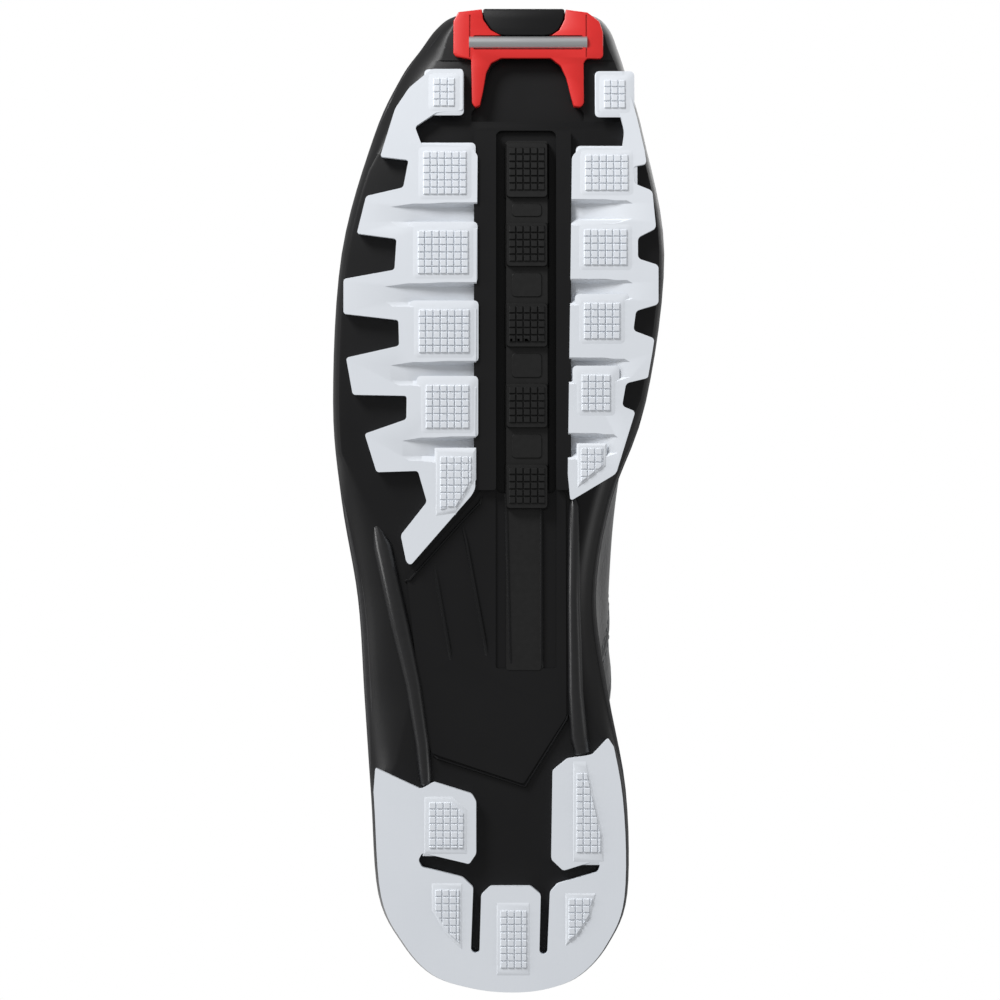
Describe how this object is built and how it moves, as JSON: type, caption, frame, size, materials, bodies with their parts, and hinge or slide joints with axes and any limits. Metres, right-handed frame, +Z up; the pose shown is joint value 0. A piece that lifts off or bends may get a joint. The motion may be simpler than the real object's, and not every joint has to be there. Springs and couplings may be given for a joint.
{
  "type": "cross country ski boot",
  "caption": "Ankle-high cross country ski boot for the right foot, with a bar-type binding sole, zipped lace cover, padded collar and heel pull loop.",
  "frame": {"origin": "under the middle of the boot's outline, on the ground plane", "axes": "+Z up, toe toward -Y, inner (medial) side toward +X"},
  "size_m": [0.1014, 0.3003, 0.1664],
  "materials": {
    "bar_steel": "turned steel, light scratches",
    "sole_black_rubber": "moulded black rubber",
    "collar_foam": "foam faced with knit",
    "overlay_film": "welded film",
    "footbed_felt": "brushed felt on foam",
    "cap_plastic": "grained moulding",
    "webbing": "woven tape",
    "stiffener_board": "thermoformed sheet",
    "board_fibre": "pressed fibre board",
    "softshell": "stretch woven with film face",
    "loop_plastic": "moulded",
    "lining_fleece": "short pile fleece",
    "midsole_foam": "closed-cell foam",
    "rand_rubber": "satin dark rubber",
    "shank_plastic": "glass-filled plastic",
    "plate_plastic": "satin black moulding",
    "insert_red": "moulded red",
    "tongue_fabric": "padded textile",
    "tread_white": "moulded off-white rubber",
    "upper_fabric": "coated textile",
    "zip_metal": "black enamel over zinc",
    "zip_tape": "woven tape",
    "zip_coil": "nylon coil"
  },
  "bodies": {
    "boot": {"binding_bar": "bar_steel", "centre_ridge": "sole_black_rubber", "collar_pad": "collar_foam", "eyestay_lateral": "overlay_film", "eyestay_medial": "overlay_film", "footbed": "footbed_felt", "heel_cap": "cap_plastic", "heel_loop": "webbing", "heel_stiffener": "stiffener_board", "insole_board": "board_fibre", "lace_cover": "softshell", "lace_loops": "loop_plastic", "lining": "lining_fleece", "midsole": "midsole_foam", "rand": "rand_rubber", "shank": "shank_plastic", "sole_plate": "plate_plastic", "toe_block": "insert_red", "toe_cap": "cap_plastic", "toe_puff": "stiffener_board", "tongue": "tongue_fabric", "tread_heel": "tread_white", "tread_lateral": "tread_white", "tread_medial": "tread_white", "upper_shell": "upper_fabric", "zip_stops": "zip_metal", "zip_tape_lateral": "zip_tape", "zip_tape_medial": "zip_tape", "zip_teeth_lateral": "zip_coil", "zip_teeth_medial": "zip_coil"},
    "slider": {"zip_slider": "zip_metal"},
    "puller": {"zip_puller": "zip_metal"}
  },
  "joints": [
    {"name": "zip_slide", "type": "slide", "parent": "boot", "child": "slider", "axis": [0, -0.8087, -0.5882], "range_m": [0, 0.059]},
    {"name": "zip_puller_swing", "type": "hinge", "parent": "slider", "child": "puller", "pos_m": [0.001, -0.00674, 0.1312], "axis": [-1, 0, 0], "range_deg": [0, 150]}
  ]
}
